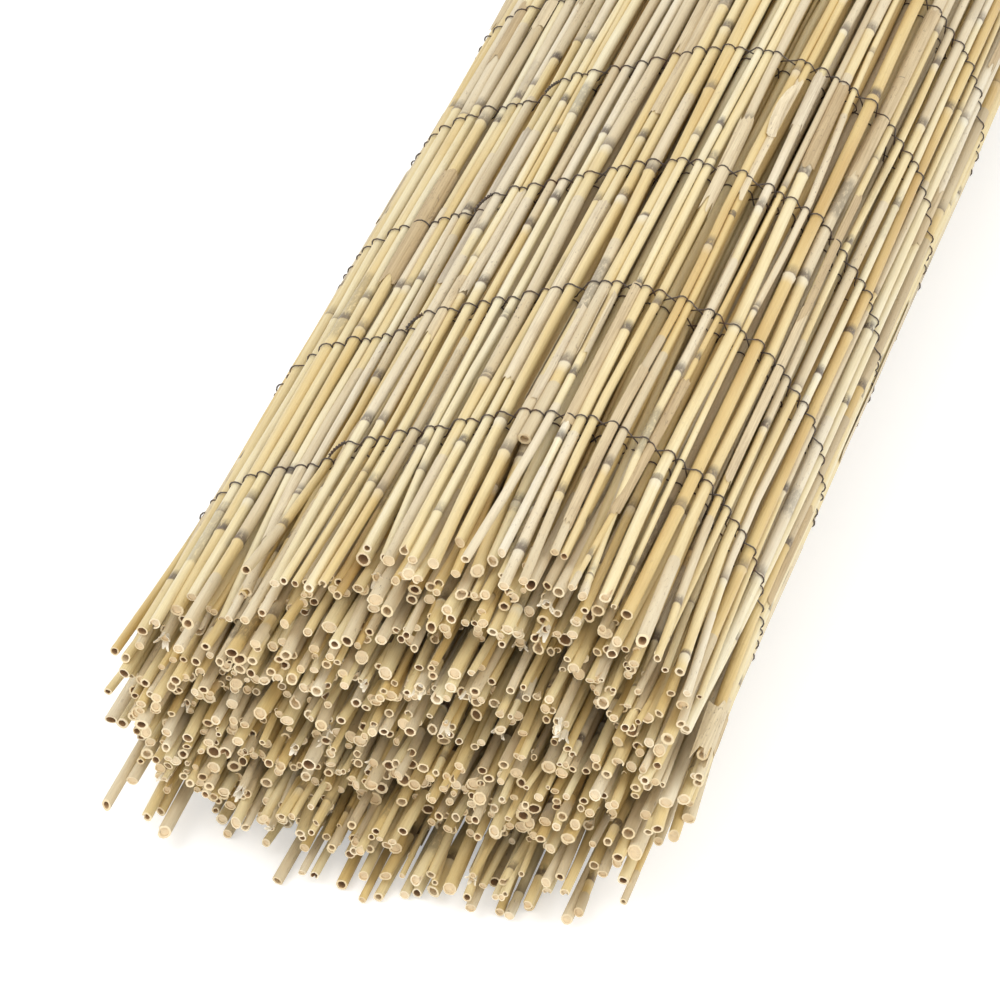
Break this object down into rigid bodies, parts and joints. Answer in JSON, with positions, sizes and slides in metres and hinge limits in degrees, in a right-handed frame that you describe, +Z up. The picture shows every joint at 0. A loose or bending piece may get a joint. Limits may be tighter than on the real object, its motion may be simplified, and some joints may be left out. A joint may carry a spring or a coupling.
{
  "type": "reed screening mat",
  "caption": "Rolled reed screening mat: dry hollow reeds bound side by side with rows of thin wire into one wall, rolled up and lying on the ground, for fences and shade.",
  "frame": {"origin": "middle of the roll's box, at floor level", "axes": "+Y along the reeds from the ragged end to the trimmed end, +X across the roll, +Z up"},
  "size_m": [0.2424, 1, 0.1608],
  "materials": {
    "dry_reed": "satin",
    "iron_wire": "satin"
  },
  "bodies": {
    "root": {"reed_roll": "dry_reed", "binding_wire_1": "iron_wire", "binding_wire_2": "iron_wire", "binding_wire_3": "iron_wire", "binding_wire_4": "iron_wire", "binding_wire_5": "iron_wire", "binding_wire_6": "iron_wire", "binding_wire_7": "iron_wire", "binding_wire_8": "iron_wire", "binding_wire_9": "iron_wire"}
  },
  "joints": []
}
